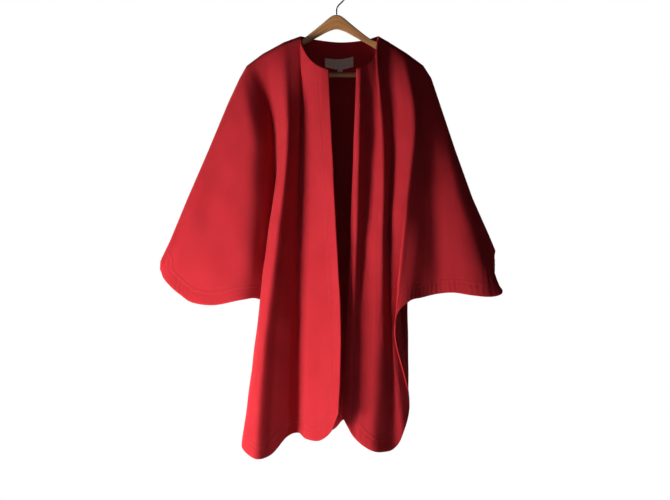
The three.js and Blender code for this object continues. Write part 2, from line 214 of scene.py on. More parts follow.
def through(values, u):
    """A smooth curve through evenly numbered values: between two of them it is the cubic whose slope at
    each is half the step between its neighbours. values and u run along their last axis."""
    count = values.shape[-1]
    before_first = 2 * values[..., :1] - values[..., 1:2]
    after_last = 2 * values[..., -1:] - values[..., -2:-1]
    padded = np.concatenate([before_first, values, after_last], axis=-1)
    i = np.clip(np.floor(u).astype(int), 0, count - 2)
    f = u - i
    before, a, b, after = (np.take_along_axis(padded, i + k, -1) for k in range(4))
    slope_a = (b - before) / 2
    slope_b = (after - a) / 2
    f2 = f * f
    f3 = f2 * f
    near = a * (2 * f3 - 3 * f2 + 1) + slope_a * (f3 - 2 * f2 + f)
    return near + b * (3 * f2 - 2 * f3) + slope_b * (f3 - f2)


def fold_table(rows, columns):
    """The fold table as one array for each column."""
    return {name: np.array([np.nan if v is None else v for v in values], float)
            for name, values in zip(columns, zip(*rows))}


def front_stations(table):
    """The five x and the five depths of each fold line of a front, from its top to its edge."""
    places = [table[k] for k in ("x_top", "x_quarter", "x_half", "x_three", "x_edge")]
    low = (table["out_half"] + table["out_edge"]) / 2
    depths = [table["out_top"], table["out_quarter"], table["out_half"], low, table["out_edge"]]
    return np.array(places), np.array(depths)


def seam_height(seam, x):
    """The seam's height above x: straight between the seam's points."""
    points = np.array(sorted(seam), float)
    return np.interp(x, points[:, 0], points[:, 1])


def line_numbers(xs, zs, least, longest):
    """Where the sheet is cut across: at least so many steps for each fold, and none longer at its lower
    edge than the longest."""
    lengths = np.hypot(np.diff(xs), np.diff(zs))
    steps = np.maximum(least, np.ceil(lengths / longest)).astype(int)
    parts = [i + np.arange(n) / n for i, n in enumerate(steps)]
    return np.concatenate(parts + [[float(len(steps))]])


def hung_sheet(table, stations, seams, sign, least=12):
    """The middle surface of a hung sheet, in millimetres. Across the sheet, s counts the fold lines and
    every column of the table is a smooth curve in s. Down it, a point lies at a share t of its line's
    height, with x and depth smooth curves through their five values. Depth is taken at a power of t below
    one, so the folds deepen fastest near the top. The first centimetre below a seam rounds the shoulder
    as a quarter circle."""
    places, depths = stations
    s = line_numbers(places[4], table["z_edge"], least, LONGEST_STEP)[None, :]
    on_seam_lines = (table["out_top"] == 0).astype(float)
    neck = np.flatnonzero(~np.isnan(table["z_top"]))
    x_top = through(places[0][None, :], s)[0]
    z_seam = np.where(x_top < 0, seam_height(seams[0], x_top), seam_height(seams[1], x_top))
    z_neck = through(table["z_top"][None, neck], np.clip(s - neck[0], 0, len(neck) - 1))[0]
    at_neck = (s[0] >= neck[0]) & (s[0] <= neck[-1])
    top = np.where(at_neck, z_neck, z_seam)
    edge = through(table["z_edge"][None, :], s)[0]
    height = top - edge
    on_seam = np.clip(through(on_seam_lines[None, :], s)[0], 0, 1)
    round_off = np.minimum(SHOULDER_ROUND, 0.3 * height)
    band = np.minimum(EDGE_BAND, 0.4 * (height - round_off))
    cap_rows = 1 - np.cos(np.linspace(0, np.pi / 2, CAP_ROWS))
    long_rows = np.linspace(0, 1, LONG_ROWS)[1:]
    band_rows = np.linspace(0, 1, EDGE_BAND_ROWS)[1:]
    falls = np.concatenate(
        [
            round_off[:, None] * cap_rows,
            round_off[:, None] + (height - band - round_off)[:, None] * long_rows,
            (height - band)[:, None] + band[:, None] * band_rows,
        ],
        axis=1,
    )
    t = falls / height[:, None]
    x_lines = through(places, np.repeat(s, 5, 0)).T
    depth_lines = through(depths, np.repeat(s, 5, 0)).T
    depth_lines[:, 0] = np.maximum(depth_lines[:, 0], 0)
    x = through(x_lines, t * 4)
    reach = np.minimum(falls, round_off[:, None])
    cap = np.sqrt(np.maximum(round_off[:, None] ** 2 - (round_off[:, None] - reach) ** 2, 0))
    depth = through(depth_lines, 4 * t**DEPTH_RISE) + on_seam[:, None] * cap * (1 - t) ** 2 + SEAM_GAP / 2
    points = np.stack([x, sign * depth, top[:, None] - falls], axis=-1)
    return {"points": points, "s": s[0], "t": t, "on_seam": on_seam > 0.5, "at_neck": at_neck}


def sheet_normals(points, on_seam, outward):
    """The unit vector square to the sheet at each point, level along a seam, on the side asked for."""
    across = np.gradient(points, axis=0)
    down = np.gradient(points, axis=1)
    normals = np.cross(across, down)
    normals[on_seam, 0, 1] = 0
    normals /= np.linalg.norm(normals, axis=-1, keepdims=True) + 1e-12
    return normals * outward


def edge_distance(points, edges):
    """How far each point lies from the nearest point of the free edges."""
    nearest = np.full(points.shape[:2], 1e9)
    for start in range(0, len(edges), 60):
        away = points[:, :, None, :] - edges[None, None, start : start + 60, :]
        nearest = np.minimum(nearest, np.sqrt((away**2).sum(-1)).min(-1))
    return nearest


def smooth_step(x):
    """0 below 0, 1 above 1, and a smooth turn between."""
    x = np.clip(x, 0, 1)
    return x * x * (3 - 2 * x)


def soft_waves(sheet, size, seed):
    """The small unevenness of a hung sheet: three crossing sine waves along and across it, up to 1.5
    times the size high. The seed shifts them."""
    p = sheet["points"]
    x, z = p[..., 0], p[..., 2]
    total = np.zeros(p.shape[:2])
    for k, (along, down) in enumerate(WAVES):
        phase = seed * 1.7 + k * 2.1
        crossing = np.sin(2 * np.pi * (x / along + z / down) + phase)
        total += crossing * np.sin(2 * np.pi * z / (down * WAVE_STRETCH) + phase)
    return total * size / 2


def hem_puckers(sheet, distance, ranges):
    """Short ripples square to the edge between the edge and its topstitching, where the cloth is eased
    in. Each range says between which fold lines they lie, how far apart and how high they are."""
    points = sheet["points"]
    step = np.linalg.norm(np.diff(points[:, -1], axis=0), axis=-1)
    run = np.concatenate([[0], np.cumsum(step)])[:, None]
    total = np.zeros(distance.shape)
    for first, last, pitch, high in ranges:
        here = smooth_step((sheet["s"] - first) / 0.6) * smooth_step((last - sheet["s"]) / 0.6)
        near = smooth_step((STITCH_ROWS[1] + 4 - distance) / 18) * smooth_step(distance / 10 + 0.35)
        uneven = 0.65 + 0.35 * np.sin(2 * np.pi * run / (pitch * 4.3) + first)
        total += here[:, None] * near * high * uneven * np.sin(2 * np.pi * run / pitch)
    return total


def new_piece(name, vertices, faces, smooth=True):
    """A mesh object at the origin from vertices in millimetres and a list of face index arrays."""
    mesh = bpy.data.meshes.new(name)
    corners = np.concatenate([f.ravel() for f in faces])
    sizes = np.concatenate([np.full(len(f), f.shape[1]) for f in faces])
    mesh.vertices.add(len(vertices))
    mesh.vertices.foreach_set("co", (np.asarray(vertices) * MM).astype(np.float32).ravel())
    mesh.loops.add(len(corners))
    mesh.loops.foreach_set("vertex_index", corners.astype(np.int32))
    mesh.polygons.add(len(sizes))
    mesh.polygons.foreach_set("loop_start", np.concatenate([[0], np.cumsum(sizes)[:-1]]).astype(np.int32))
    mesh.polygons.foreach_set("loop_total", sizes.astype(np.int32))
    mesh.polygons.foreach_set("use_smooth", np.full(len(sizes), smooth))
    mesh.update(calc_edges=True)
    mesh.validate()
    piece = bpy.data.objects.new(name, mesh)
    bpy.context.scene.collection.objects.link(piece)
    return piece


def rimmed_wall(name, middle, outer, inner, flat_border, turned_over):
    """A closed wall between two grids of points. Its four sides are rounded: half a circle stands out
    from the middle surface's border, or almost nothing where flat_border is true."""
    across, down = middle.shape[:2]
    number = np.arange(across * down).reshape(across, down)
    front = np.stack([number[:-1, :-1], number[1:, :-1], number[1:, 1:], number[:-1, 1:]], -1).reshape(-1, 4)
    back = front[:, ::-1] + across * down
    ring = np.concatenate([number[:, 0], number[-1, 1:], number[-2::-1, -1], number[0, -2:0:-1]])
    off = np.zeros_like(middle)
    off[:, 0] += middle[:, 0] - middle[:, 1]
    off[:, -1] += middle[:, -1] - middle[:, -2]
    off[0] += middle[0] - middle[1]
    off[-1] += middle[-1] - middle[-2]
    flat = off.reshape(-1, 3)[ring]
    flat = flat / (np.linalg.norm(flat, axis=-1, keepdims=True) + 1e-9)
    a = outer.reshape(-1, 3)[ring]
    b = inner.reshape(-1, 3)[ring]
    share = np.where(flat_border.ravel()[ring], 0.04, 0.5)[:, None]
    bulge = share * np.linalg.norm(a - b, axis=-1, keepdims=True)
    rims = [a * (1 + c) / 2 + b * (1 - c) / 2 + flat * bulge * r
            for c, r in ((math.cos(w), math.sin(w)) for w in (math.pi / 4, math.pi / 2, math.pi * 3 / 4))]
    count = len(ring)
    start = 2 * across * down
    rows = [ring, start + np.arange(count), start + count + np.arange(count)]
    rows += [start + 2 * count + np.arange(count), ring + across * down]
    sides = [
        np.stack([near, far, np.roll(far, -1), np.roll(near, -1)], -1)
        for near, far in zip(rows[:-1], rows[1:])
    ]
    faces = np.concatenate([front, back] + sides)
    if turned_over:
        faces = faces[:, ::-1]
    return new_piece(name, np.concatenate([outer.reshape(-1, 3), inner.reshape(-1, 3)] + rims), [faces])


def cloth_wall(name, sheet, distance, outward):
    """Gives the sheet its two faces. The outer face dips at each row of topstitching and is a little
    full between them, and the inner one is thicker where the edge is turned. A seam's rim is flat."""
    middle = sheet["points"]
    normals = sheet_normals(middle, sheet["on_seam"], outward)
    dip = sum(STITCH_DIP * np.exp(-(((distance - row) / 2.2) ** 2)) for row in STITCH_ROWS)
    puff = EDGE_FULL * smooth_step((TURNED_EDGE - distance) / 6) * smooth_step(distance / 5 + 0.3)
    turned = TURNED_THICKER * smooth_step((TURNED_EDGE - distance) / 3)
    outer = middle + normals * (CLOTH / 2 + puff - dip)[..., None]
    inner = middle - normals * (CLOTH / 2 + turned)[..., None]
    seam_border = np.zeros(middle.shape[:2], bool)
    seam_border[sheet["on_seam"], 0] = True
    return rimmed_wall(name, middle, outer, inner, seam_border, outward < 0), outer, normals


def free_edges(sheet):
    """The points of the sheet's free edges: its lower edge, the open end of its wing, its front edge or
    other wing's end, and its neck edge."""
    points = sheet["points"]
    neck = points[sheet["at_neck"] & ~sheet["on_seam"], 0]
    return np.concatenate([points[:, -1], points[0], points[-1], neck])


def stitch_route(surface, distance, level, first_side):
    """The line on the surface that keeps one distance from the free edge, found between grid points: up
    the front edge where first_side is true, then along the lower edge. The surface's rows hold places
    with normals beside them, and so does the line."""
    def crossing(values, places):
        inside = values >= level
        found = inside.any()
        i = int(np.argmax(inside))
        if not found or i == 0:
            return None
        f = (level - values[i - 1]) / (values[i] - values[i - 1])
        return places[i - 1] + (places[i] - places[i - 1]) * f

    route = []
    if first_side:
        for row in range(10, distance.shape[1] - 6, 3):
            point = crossing(distance[:60, row], surface[:60, row])
            if point is not None:
                route.append(point)
    for column in range(0, distance.shape[0], 2):
        point = crossing(distance[column, ::-1][:70], surface[column, ::-1][:70])
        if point is not None:
            route.append(point)
    return np.array(route)


def stitches(name, routes, pitch, length, thread):
    """Rows of sewn thread. Each route is a line of places with the cloth's normal beside them. A stitch
    is a short rounded bar of six points round, narrow at both ends, where it dives into the cloth. The
    profile's rows say where along it a ring lies, how wide it is and how high."""
    turn = np.arange(THREAD_SIDES) * 2 * np.pi / THREAD_SIDES
    tiles = []
    for route in routes:
        steps = np.linalg.norm(np.diff(route[:, :3], axis=0), axis=-1)
        route = route[np.concatenate([[True], (steps > 0.05) & (steps < 45)])]
        run = np.concatenate([[0], np.cumsum(np.linalg.norm(np.diff(route[:, :3], axis=0), axis=-1))])
        at = np.arange(pitch, run[-1] - pitch, pitch)
        here = np.stack([np.interp(at, run, route[:, k]) for k in range(6)], -1)
        centre, up = here[:, :3], here[:, 3:]
        ahead = np.stack([np.interp(at + 1, run, route[:, k]) for k in range(3)], -1) - centre
        ahead /= np.linalg.norm(ahead, axis=-1, keepdims=True) + 1e-9
        side = np.cross(ahead, up)
        side /= np.linalg.norm(side, axis=-1, keepdims=True) + 1e-9
        up = np.cross(side, ahead)
        ring = []
        for place, width, lift in STITCH_PROFILE:
            spot = centre + ahead * place * length + up * (lift * thread)
            around = side[:, None] * np.cos(turn)[:, None] + up[:, None] * np.sin(turn)[:, None] * 0.8
            ring.append(spot[:, None] + around * width * thread / 2)
        tiles.append(np.stack(ring, 1))
    body = np.concatenate(tiles)
    count, rings = body.shape[:2]
    number = np.arange(rings * THREAD_SIDES).reshape(rings, THREAD_SIDES)
    beside = np.roll(number, -1, 1)
    quads = np.stack([number[:-1], number[1:], beside[1:], beside[:-1]], -1)
    shift = (np.arange(count) * rings * THREAD_SIDES)[:, None, None]
    sides = (quads.reshape(-1, 4)[None] + shift).reshape(-1, 4)
    caps = np.stack([number[0], number[-1][::-1]])
    ends = (caps[None] + shift).reshape(-1, THREAD_SIDES)
    return new_piece(name, body.reshape(-1, 3), [sides, ends])


def new_material(name):
    """A material with its node tree, its shader, and the place on the object in metres."""
    material = bpy.data.materials.new(name)
    material.use_nodes = True
    tree = material.node_tree
    place = node(tree, "ShaderNodeTexCoord").outputs["Object"]
    return material, tree, tree.nodes["Principled BSDF"], place


def noise(tree, place, size, detail, roughness=0.5):
    """Noise whose patches are so many millimetres across."""
    settings = {"Scale": 1 / (size * MM), "Detail": detail, "Roughness": roughness}
    return node(tree, "ShaderNodeTexNoise", {"Vector": place}, **settings).outputs["Fac"]


def share_of(tree, value, low, high, least, most):
    """The value between low and high, stretched to run from least to most."""
    made = node(tree, "ShaderNodeMapRange", {0: value})
    for name, number in (("From Min", low), ("From Max", high), ("To Min", least), ("To Max", most)):
        made.inputs[name].default_value = number
    return made.outputs[0]


def blend(tree, share, first, second):
    """Mixes two colours by a share. Each is a hex colour or another node's output."""
    made = node(tree, "ShaderNodeMix", {0: share}, data_type="RGBA")
    for socket, colour in ((made.inputs[6], first), (made.inputs[7], second)):
        if isinstance(colour, str):
            socket.default_value = linear(colour)
        else:
            tree.links.new(colour, socket)
    return made.outputs[2]


def wool_coating():
    """Heavy wool coating: milled and lightly brushed, so the weave is hidden under short matted fibre.
    It has no gloss, a soft bloom at grazing angles, and a colour that varies a little from place to
    place and from tuft to tuft. Tufts of about 1.3 mm are drawn at 2.2 mm, as coarse as they show."""
    material, tree, shader, place = new_material("milled red wool coating")
    cloud = noise(tree, place, 70, 2.0)
    tuft = noise(tree, place, 2.2, 3.0, 0.65)
    fibre = noise(tree, place, 0.7, 2.0)
    broad = blend(tree, cloud, "#A52029", "#B42B35")
    tufted = blend(tree, share_of(tree, tuft, 0.3, 0.7, 0.0, 0.35), broad, "#86151E")
    tree.links.new(tufted, shader.inputs["Base Color"])
    height = node(tree, "ShaderNodeMath", {0: tuft, 1: fibre}, operation="ADD")
    relief = node(tree, "ShaderNodeBump", {"Height": height.outputs[0]}, Strength=0.45, Distance=0.5 * MM)
    tree.links.new(relief.outputs[0], shader.inputs["Normal"])
    shader.inputs["Roughness"].default_value = 0.95
    shader.inputs["Specular IOR Level"].default_value = 0.15
    shader.inputs["Sheen Weight"].default_value = 0.15
    shader.inputs["Sheen Roughness"].default_value = 0.5
    shader.inputs["Sheen Tint"].default_value = linear("#FF8A92")
    return material


def sewing_thread():
    """Red polyester sewing thread, twisted and a little smoother and darker than the wool round it."""
    material, tree, shader, place = new_material("twisted red sewing thread")
    tone = blend(tree, noise(tree, place, 0.5, 1.0), "#8E1620", "#B5232D")
    tree.links.new(tone, shader.inputs["Base Color"])
    shader.inputs["Roughness"].default_value = 0.55
    shader.inputs["Sheen Weight"].default_value = 0.15
    return material


WOOL = wool_coating()
SEWING_THREAD = sewing_thread()


def sew(name, node_name, sheet, outward, waves, puckers, front_edge):
    """Makes a panel: waves and puckers move the sheet, the wall is built, and the edge is topstitched."""
    edges = free_edges(sheet)
    distance = edge_distance(sheet["points"], edges)
    normals = sheet_normals(sheet["points"], sheet["on_seam"], outward)
    calm = smooth_step((sheet["t"] - 0.03) / 0.12)
    moved = soft_waves(sheet, *waves) * calm + hem_puckers(sheet, distance, puckers)
    sheet["points"] = sheet["points"] + normals * moved[..., None]
    piece, outer, normals = cloth_wall(name, sheet, distance, outward)
    piece.data.materials.append(WOOL)
    surface = np.concatenate([outer, normals], -1)
    routes = [stitch_route(surface, distance, row, front_edge) for row in STITCH_ROWS]
    thread = stitches(name + "_topstitch", routes, STITCH_PITCH, STITCH_LENGTH, THREAD)
    thread.data.materials.append(SEWING_THREAD)
    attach(piece, "root")
    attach(thread, "root")
    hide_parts(node_name)
    return piece


left_table = fold_table(FRONT_LEFT_FOLDS, FRONT_COLUMNS)
left_sheet = hung_sheet(left_table, front_stations(left_table), (SEAM_LEFT, SEAM_LEFT), -1)
sew(
    "front_left_cloth", "front_left", left_sheet, 1,
    waves=(1.3, 1), puckers=[(11.4, 16.0, 13.0, 0.35), (0.5, 8.0, 17.0, 0.2)],
    front_edge=True,
)

# The right front
# The same cut, turned over. It has slid a little outward on the hanger, so it hangs in narrower,
# deeper folds, and its front edge goes behind the left one below the hip. The wing's hem is puckered.
SEAM_RIGHT = [
    (104, -124),
    (129, -138),
    (174, -166),
    (216, -197),
    (236, -228),
    (256, -288),
    (296, -408),
    (339, -528),
    (379, -618),
    (397, -662),
]
FRONT_RIGHT_FOLDS = [
    (51, 43, 35, 26, 14, -208, -1070, 60, 62, 60, 56),
    (60, 56, 49, 40, 30, -205, -1100, 58, 70, 70, 58),
    (73, 74, 64, 50, 44, -199, -1122, 50, 44, 50, 56),
    (86, 91, 80, 72, 66, -190, -1142, 45, 46, 55, 60),
    (96, 106, 101, 98, 92, -176, -1156, 38, 54, 65, 62),
    (101, 119, 117, 118, 118, -154, -1158, 32, 56, 68, 50),
    (105, 136, 130, 136, 144, -124, -1150, 0, 32, 38, 36),
    (129, 151, 139, 141, 166, None, -1112, 0, 35, 52, 36),
    (151, 175, 164, 152, 181, None, -1028, 0, 45, 65, 26),
    (169, 193, 178, 158, 146, None, -882, 0, 48, 67, 60),
    (189, 205, 195, 176, 151, None, -818, 0, 40, 56, 66),
    (209, 216, 209, 200, 181, None, -783, 0, 31, 43, 62),
    (224, 227, 225, 225, 214, None, -774, 0, 26, 33, 46),
    (238, 240, 243, 248, 252, None, -765, 0, 22, 28, 34),
    (256, 264, 274, 283, 291, None, -762, 0, 18, 29, 40),
    (274, 290, 308, 322, 332, None, -768, 0, 16, 29, 48),
    (314, 329, 344, 359, 369, None, -772, 0, 14, 26, 50),
    (354, 364, 374, 384, 394, None, -771, 0, 10, 19, 44),
    (380, 384, 388, 398, 411, None, -765, 0, 6, 12, 36),
    (396, 392, 390, 396, 413, None, -757, 0, 3, 7, 28),
]
right_table = fold_table(FRONT_RIGHT_FOLDS, FRONT_COLUMNS)
right_sheet = hung_sheet(right_table, front_stations(right_table), (SEAM_RIGHT, SEAM_RIGHT), -1)
sew(
    "front_right_cloth", "front_right", right_sheet, -1,
    waves=(1.2, 4), puckers=[(10.4, 14.6, 12.0, 0.8), (14.2, 17.5, 16.0, 0.35), (1.0, 6.0, 18.0, 0.2)],
    front_edge=True,
)

# The back
# One wide sheet with both wings, with the neck scooped out. It hangs behind the hanger in broad folds,
# which the picture hardly shows, and its sides are open below the wings, as the fronts' are.
BACK_COLUMNS = ("x_top", "x_half", "x_edge", "z_top", "z_edge", "out_top", "out_half", "out_edge")
BACK_FOLDS = [
    (-438, -437, -434, None, -708, 0, 3, 4),
    (-410, -416, -424, None, -722, 0, 10, 16),
    (-371, -384, -404, None, -745, 0, 22, 34),
    (-328, -348, -372, None, -764, 0, 18, 24),
    (-294, -312, -334, None, -774, 0, 26, 30),
    (-262, -270, -284, None, -776, 0, 42, 58),
    (-241, -234, -240, None, -772, 0, 34, 40),
    (-222, -204, -204, None, -770, 0, 30, 32),
    (-204, -182, -166, None, -796, 0, 44, 44),
    (-178, -180, -206, None, -1096, 0, 52, 52),
    (-150, -170, -192, None, -1118, 0, 78, 104),
    (-118, -140, -156, None, -1112, 0, 66, 84),
    (-90, -100, -116, -124, -1096, 0, 44, 54),
    (-49, -66, -72, -132, -1104, 28, 62, 96),
    (9, 0, -12, -138, -1110, 36, 54, 74),
    (64, 42, 24, -134, -1080, 28, 50, 62),
    (105, 84, 78, -124, -1098, 0, 70, 98),
    (129, 118, 118, None, -1106, 0, 56, 72),
    (151, 150, 148, None, -1100, 0, 66, 84),
    (178, 172, 178, None, -1032, 0, 46, 44),
    (205, 186, 172, None, -800, 0, 38, 34),
    (224, 214, 200, None, -772, 0, 30, 30),
    (238, 240, 240, None, -758, 0, 42, 48),
    (268, 280, 292, None, -752, 0, 34, 36),
    (314, 330, 346, None, -754, 0, 30, 44),
    (354, 364, 374, None, -750, 0, 18, 26),
    (380, 386, 394, None, -722, 0, 8, 12),
    (395, 395, 396, None, -696, 0, 3, 4),
]


def back_stations(table):
    """The five x and depths of each fold line of the back, worked out from the three in its table."""
    x_top, x_half, x_edge = table["x_top"], table["x_half"], table["x_edge"]
    out_top, out_half, out_edge = table["out_top"], table["out_half"], table["out_edge"]
    places = [x_top, (x_top + x_half) / 2, x_half, (x_half + x_edge) / 2, x_edge]
    depths = [out_top, 0.3 * out_top + 0.7 * out_half, out_half, (out_half + out_edge) / 2, out_edge]
    return np.array(places), np.array(depths)


back_table = fold_table(BACK_FOLDS, BACK_COLUMNS)
back_sheet = hung_sheet(back_table, back_stations(back_table), (SEAM_LEFT, SEAM_RIGHT), 1, least=8)
sew(
    "back_cloth", "back_panel", back_sheet, 1,
    waves=(1.3, 7), puckers=[(2.0, 6.0, 14.0, 0.35), (21.0, 26.0, 14.0, 0.35), (10.0, 18.0, 18.0, 0.2)],
    front_edge=False,
)

# The neck label
# A small bare label woven in pale satin, its two ends turned under and each sewn to the back with a row
# of thread. It hangs free between them, so its lower edge bows down and stands a little off the cloth.
LABEL_LEFT = -28.5
LABEL_RIGHT = 41.5
LABEL_TOPS = (-176.5, -178.8, -178.0, -173.0)
LABEL_BOTTOMS = (-197.5, -203.2, -203.4, -197.5)
LABEL_THICK = 0.7
LABEL_TURNED = 6.0
LABEL_LIFT_TOP = 1.0
LABEL_LIFT_EDGE = 2.4
LABEL_SAG = 0.8


def back_face(x, z):
    """How far behind the origin the back's middle surface lies near the neck: the cubic surface in x and
    z that fits the sheet's own points there best."""
    near = back_sheet["points"].reshape(-1, 3)
    near = near[(np.abs(near[:, 0]) < 70) & (near[:, 2] > -240) & (near[:, 2] < -150)]

    def terms(x, z):
        u, w = x / 70, (z + 190) / 50
        return np.stack([u**a * w**b for a in range(4) for b in range(4 - a)], -1)

    weights = np.linalg.lstsq(terms(near[:, 0], near[:, 2]), near[:, 1], rcond=None)[0]
    return terms(x, z) @ weights


def satin():
    """Woven polyester satin: smooth, off-white with a warm cast, a soft shine on its raised threads. The
    threads are 0.3 mm apart and drawn at 0.7 mm, as coarse as they show."""
    material, tree, shader, place = new_material("woven off-white satin")
    settings = {"Scale": 2 * math.pi / 20 / (0.7 * MM), "Distortion": 0.6}
    weft = node(tree, "ShaderNodeTexWave", {"Vector": place}, bands_direction="Z", **settings)
    warp = node(tree, "ShaderNodeTexWave", {"Vector": place}, bands_direction="X", **settings)
    crossing = {0: weft.outputs["Fac"], 1: warp.outputs["Fac"]}
    weave = node(tree, "ShaderNodeMath", crossing, operation="ADD")
    tone = blend(tree, noise(tree, place, 9, 3.0), "#E9DDD6", "#CDB9B1")
    tree.links.new(tone, shader.inputs["Base Color"])
    relief = node(tree, "ShaderNodeBump", {"Height": weave.outputs[0]}, Strength=0.5, Distance=0.15 * MM)
    tree.links.new(relief.outputs[0], shader.inputs["Normal"])
    shader.inputs["Roughness"].default_value = 0.5
    shader.inputs["Sheen Weight"].default_value = 0.2
    return material


SATIN = satin()
u, v = np.meshgrid(np.linspace(0, 1, 71), np.linspace(0, 1, 31), indexing="ij")
label_top = through(np.array([LABEL_TOPS]), u.reshape(1, -1) * 3).reshape(u.shape)
label_bottom = through(np.array([LABEL_BOTTOMS]), u.reshape(1, -1) * 3).reshape(u.shape)
label_x = LABEL_LEFT + (LABEL_RIGHT - LABEL_LEFT) * u
label_z = label_top + (label_bottom - label_top) * v
lift = LABEL_LIFT_TOP + (LABEL_LIFT_EDGE - LABEL_LIFT_TOP) * v**1.5 + LABEL_SAG * np.sin(np.pi * u) * v
label_y = back_face(label_x, label_z) - CLOTH / 2 - LABEL_THICK / 2 - lift
label_middle = np.stack([label_x, label_y, label_z], -1)
label_out = sheet_normals(label_middle, np.zeros(len(u), bool), -1)
from_end = np.minimum(u, 1 - u) * (LABEL_RIGHT - LABEL_LEFT)
half_thick = LABEL_THICK / 2 * (1 + smooth_step((LABEL_TURNED - from_end) / 1.2))[..., None]
label_front = label_middle + label_out * half_thick
label_back = label_middle - label_out * half_thick
label = rimmed_wall("neck_label_satin", label_middle, label_front, label_back, np.zeros(u.shape, bool), True)
label.data.materials.append(SATIN)
label_rows = np.concatenate([label_front, label_out], -1)[[4, -5], 2:-2]
label_thread = stitches("neck_label_thread", label_rows, 2.6, 2.0, 0.35)
label_thread.data.materials.append(SATIN)
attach(label, "root")
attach(label_thread, "root")
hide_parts("neck_label")

# The size tab
# A short loop of the same satin tape, bare, folded once and caught behind the label's lower edge.
TAB_LEFT, TAB_RIGHT = 3.0, 15.2
TAB_TOP, TAB_FOLD = -201.5, -210.4
TAB_THICK = 0.4
TAB_OPEN = 0.6
TAB_STAND_OFF = 2.4
TAB_BEND_SHARE = 0.12

tab_u, tab_s = np.meshgrid(np.linspace(0, 1, 13), np.linspace(-1, 1, 41), indexing="ij")
tab_bend = np.clip(tab_s / TAB_BEND_SHARE, -1, 1) * np.pi / 2
tab_run = np.maximum(np.abs(tab_s) - TAB_BEND_SHARE, 0) / (1 - TAB_BEND_SHARE)
tab_z = TAB_FOLD + TAB_OPEN * (1 - np.cos(tab_bend)) + tab_run * (TAB_TOP - TAB_FOLD - TAB_OPEN)
tab_x = TAB_LEFT + (TAB_RIGHT - TAB_LEFT) * tab_u
tab_y = back_face(tab_x, tab_z) - CLOTH / 2 - TAB_STAND_OFF + TAB_OPEN * np.sin(tab_bend)
tab_middle = np.stack([tab_x, tab_y, tab_z], -1)
tab_out = sheet_normals(tab_middle, np.zeros(len(tab_u), bool), -1) * TAB_THICK / 2
tab_border = np.zeros(tab_u.shape, bool)
tab_front, tab_back = tab_middle + tab_out, tab_middle - tab_out
tab = rimmed_wall("size_tab_satin", tab_middle, tab_front, tab_back, tab_border, True)
tab.data.materials.append(SATIN)
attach(tab, "root")
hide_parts("size_tab")

# The hanger's wood
# A flat hanger sawn from a board of beech, its edges rounded over and its ends turned down into a foot
# for the bar. Its clear varnish has yellowed to honey. The grain runs along each arm.
HANGER_COLUMNS = ("x_upper", "z_upper", "x_lower", "z_lower")
HANGER_SECTIONS = [
    (0, -70, 0, -106),
    (14, -74, 9, -107.6),
    (36, -92, 24, -113.2),
    (60, -111.5, 45, -124.6),
    (86, -130.5, 72, -140),
    (108, -138.5, 96, -153.6),
    (131, -146, 120, -167.6),
    (158, -161, 147, -183),
    (184, -177, 172, -197),
    (206, -193, 190, -207.4),
    (217, -204.5, 197, -212),
    (222.6, -215, 199.6, -217),
    (222.6, -225, 200.2, -224),
    (214.5, -231.5, 204, -230.5),
]
WOOD_THICK = 12.0
SECTION_ROUND = 0.4
FOOT_END = 3.0


def closed_rings(name, rings, reach):
    """A closed body from rings of points. Both ends are rounded by five more rings, each the end ring
    drawn in by the cosine of an angle and moved out by its sine. Each point also gets its grain place:
    how far along the body it lies, how high in its section and how deep."""
    turn = np.linspace(0, np.pi / 2, 6)[1:, None, None]
    ends = []
    for end, beside in ((0, 1), (-1, -2)):
        middle = rings[end].mean(0)
        way = middle - rings[beside].mean(0)
        way /= np.linalg.norm(way)
        drawn_in = (rings[end] - middle) * np.maximum(np.cos(turn), 0.02)
        ends.append(middle + drawn_in + way * reach * np.sin(turn))
    rings = np.concatenate([ends[0][::-1], rings, ends[1]])
    stations, count = rings.shape[:2]
    number = np.arange(stations * count).reshape(stations, count)
    beside = np.roll(number, -1, 1)
    sides = np.stack([number[:-1], beside[:-1], beside[1:], number[1:]], -1).reshape(-1, 4)
    first = np.stack([np.full(count, stations * count), beside[0], number[0]], -1)
    last = np.stack([np.full(count, stations * count + 1), number[-1], beside[-1]], -1)
    middle = rings.mean(1)
    arm = rings[stations // 2] - middle[stations // 2]
    way = middle[stations // 2 + 1] - middle[stations // 2]
    turning = np.cross(arm, np.roll(arm, -1, 0)).sum(0) @ way
    faces = [f if turning > 0 else f[:, ::-1] for f in (sides, first, last)]
    piece = new_piece(name, np.concatenate([rings.reshape(-1, 3), middle[[0, -1]]]), faces)
    along = np.concatenate([[0], np.cumsum(np.linalg.norm(np.diff(middle, axis=0), axis=-1))])
    off = rings - middle[:, None]
    up = off[:, :1] / np.linalg.norm(off[:, :1], axis=-1, keepdims=True)
    grain = np.stack([np.repeat(along[:, None], count, 1), (off * up).sum(-1), off[..., 1]], -1)
    grain = np.concatenate([grain.reshape(-1, 3), grain.mean(1)[[0, -1]]]) * MM
    layer = piece.data.attributes.new("grain", "FLOAT_VECTOR", "POINT")
    layer.data.foreach_set("vector", grain.astype(np.float32).ravel())
    return piece


